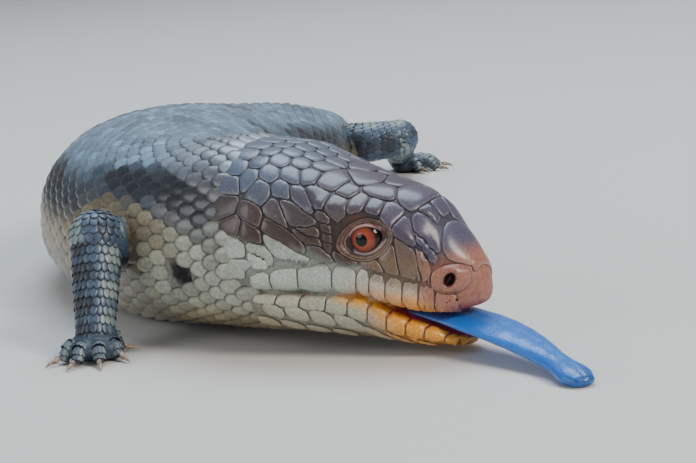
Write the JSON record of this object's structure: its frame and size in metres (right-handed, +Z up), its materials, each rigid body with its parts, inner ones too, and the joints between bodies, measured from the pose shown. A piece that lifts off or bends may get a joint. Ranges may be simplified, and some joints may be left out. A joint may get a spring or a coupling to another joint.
{
  "type": "blue-tongued skink figure",
  "caption": "Life-size blue-tongued skink lying flat, head turned, mouth a little open and its broad blue tongue stretched to the floor.",
  "frame": {"origin": "bottom centre of the whole animal's box, on the floor", "axes": "+Z up; the head end is toward -Y with the snout pointing to +X and -Y, and the tail end is toward +Y"},
  "size_m": [0.123, 0.3912, 0.0438],
  "materials": {
    "head_skin": "glossy scales, brown to mauve with pale joints",
    "jaw_skin": "glossy scales, orange lip fading to cream",
    "body_skin": "glossy overlapping scales, grey with dark blotches",
    "leg_skin": "small glossy scales, slate with dark stripes",
    "tongue": "moist blue",
    "eye": "wet, reddish brown iris and dark pupil",
    "claw": "horn, pale brown"
  },
  "bodies": {
    "root": {"head": "head_skin", "lower_jaw": "jaw_skin", "tongue": "tongue", "eye_right": "eye", "eye_left": "eye", "neck": "body_skin", "torso_front": "body_skin", "torso_middle": "body_skin", "torso_rear": "body_skin", "tail_base": "body_skin", "tail_middle": "body_skin", "tail_end": "body_skin", "fore_right_upper": "leg_skin", "fore_right_lower": "leg_skin", "fore_right_foot": "leg_skin", "fore_right_claw_1": "claw", "fore_right_claw_2": "claw", "fore_right_claw_3": "claw", "fore_right_claw_4": "claw", "fore_right_claw_5": "claw", "fore_left_upper": "leg_skin", "fore_left_lower": "leg_skin", "fore_left_foot": "leg_skin", "fore_left_claw_1": "claw", "fore_left_claw_2": "claw", "fore_left_claw_3": "claw", "fore_left_claw_4": "claw", "fore_left_claw_5": "claw", "hind_right_upper": "leg_skin", "hind_right_lower": "leg_skin", "hind_right_foot": "leg_skin", "hind_right_claw_1": "claw", "hind_right_claw_2": "claw", "hind_right_claw_3": "claw", "hind_right_claw_4": "claw", "hind_right_claw_5": "claw", "hind_left_upper": "leg_skin", "hind_left_lower": "leg_skin", "hind_left_foot": "leg_skin", "hind_left_claw_1": "claw", "hind_left_claw_2": "claw", "hind_left_claw_3": "claw", "hind_left_claw_4": "claw", "hind_left_claw_5": "claw"}
  },
  "joints": []
}
